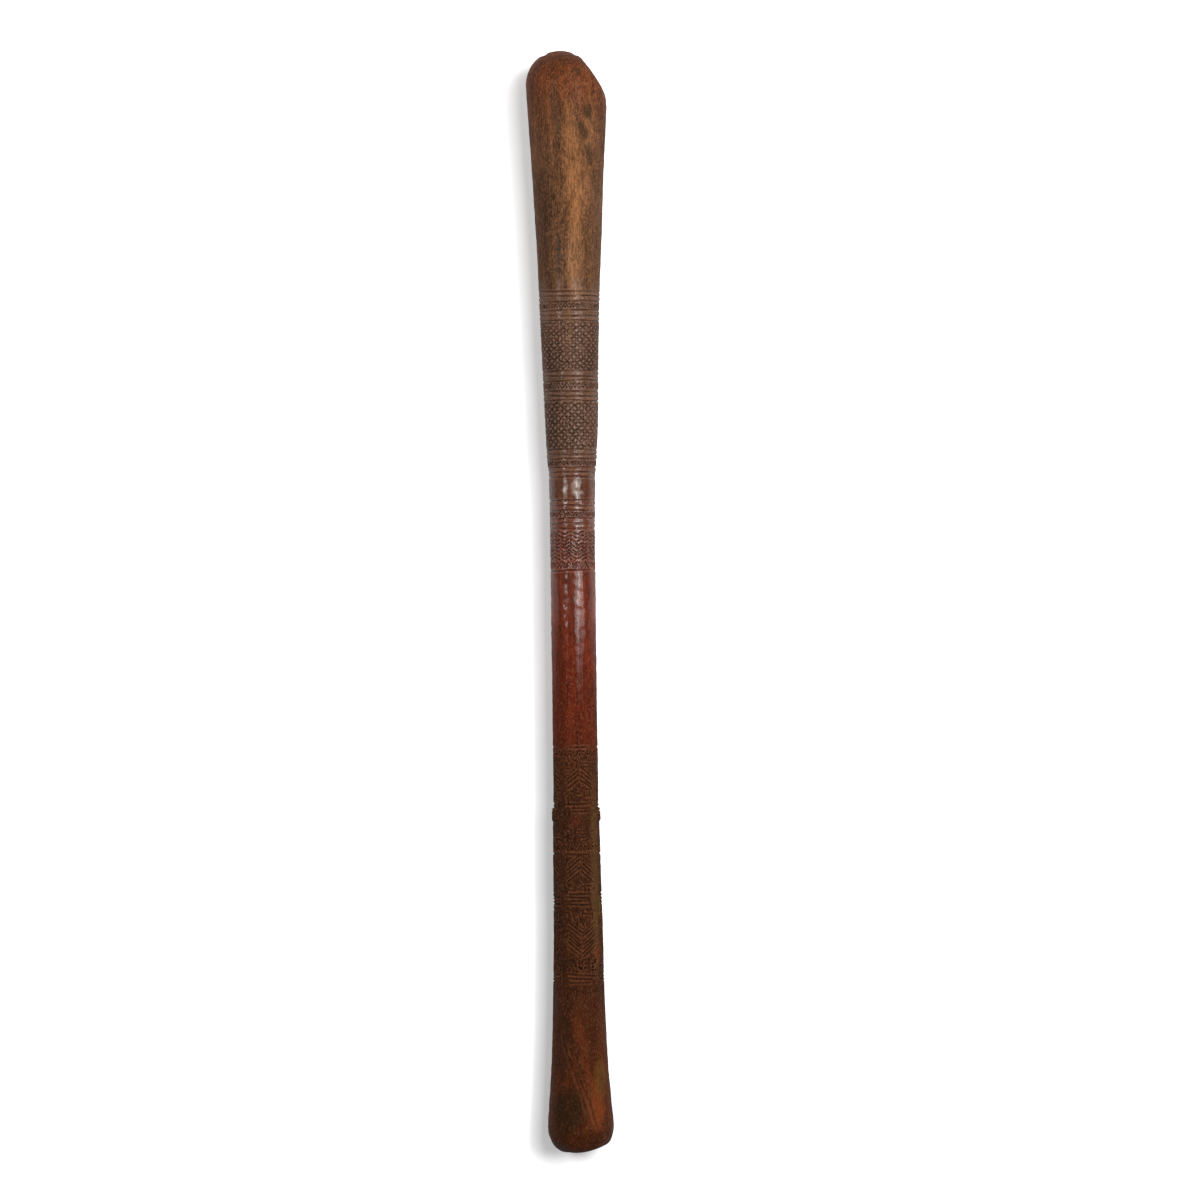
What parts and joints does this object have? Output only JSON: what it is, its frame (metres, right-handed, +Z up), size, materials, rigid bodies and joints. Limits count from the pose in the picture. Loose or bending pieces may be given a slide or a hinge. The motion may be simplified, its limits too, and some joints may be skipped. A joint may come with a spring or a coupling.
{
  "type": "didgeridoo",
  "caption": "Carved hardwood didgeridoo, a hollow stick with a domed bell end, incised bands, a smooth grip and a beeswax-lined mouth, lying on its side.",
  "frame": {"origin": "on the surface the stick lies on, under the middle of its length and width", "axes": "+Y along the stick from the mouth end to the bell end, +Z up, +X to the right seen from above with the bell end away"},
  "size_m": [0.0878, 1.1999, 0.0884],
  "materials": {
    "carved_hardwood": "old dark red-brown hardwood, polished by handling on the grip and dull in the incised bands",
    "beeswax": "worn honey-brown beeswax, soft sheen"
  },
  "bodies": {
    "root": {"wooden_body": "carved_hardwood", "wax_mouthpiece": "beeswax"}
  },
  "joints": []
}
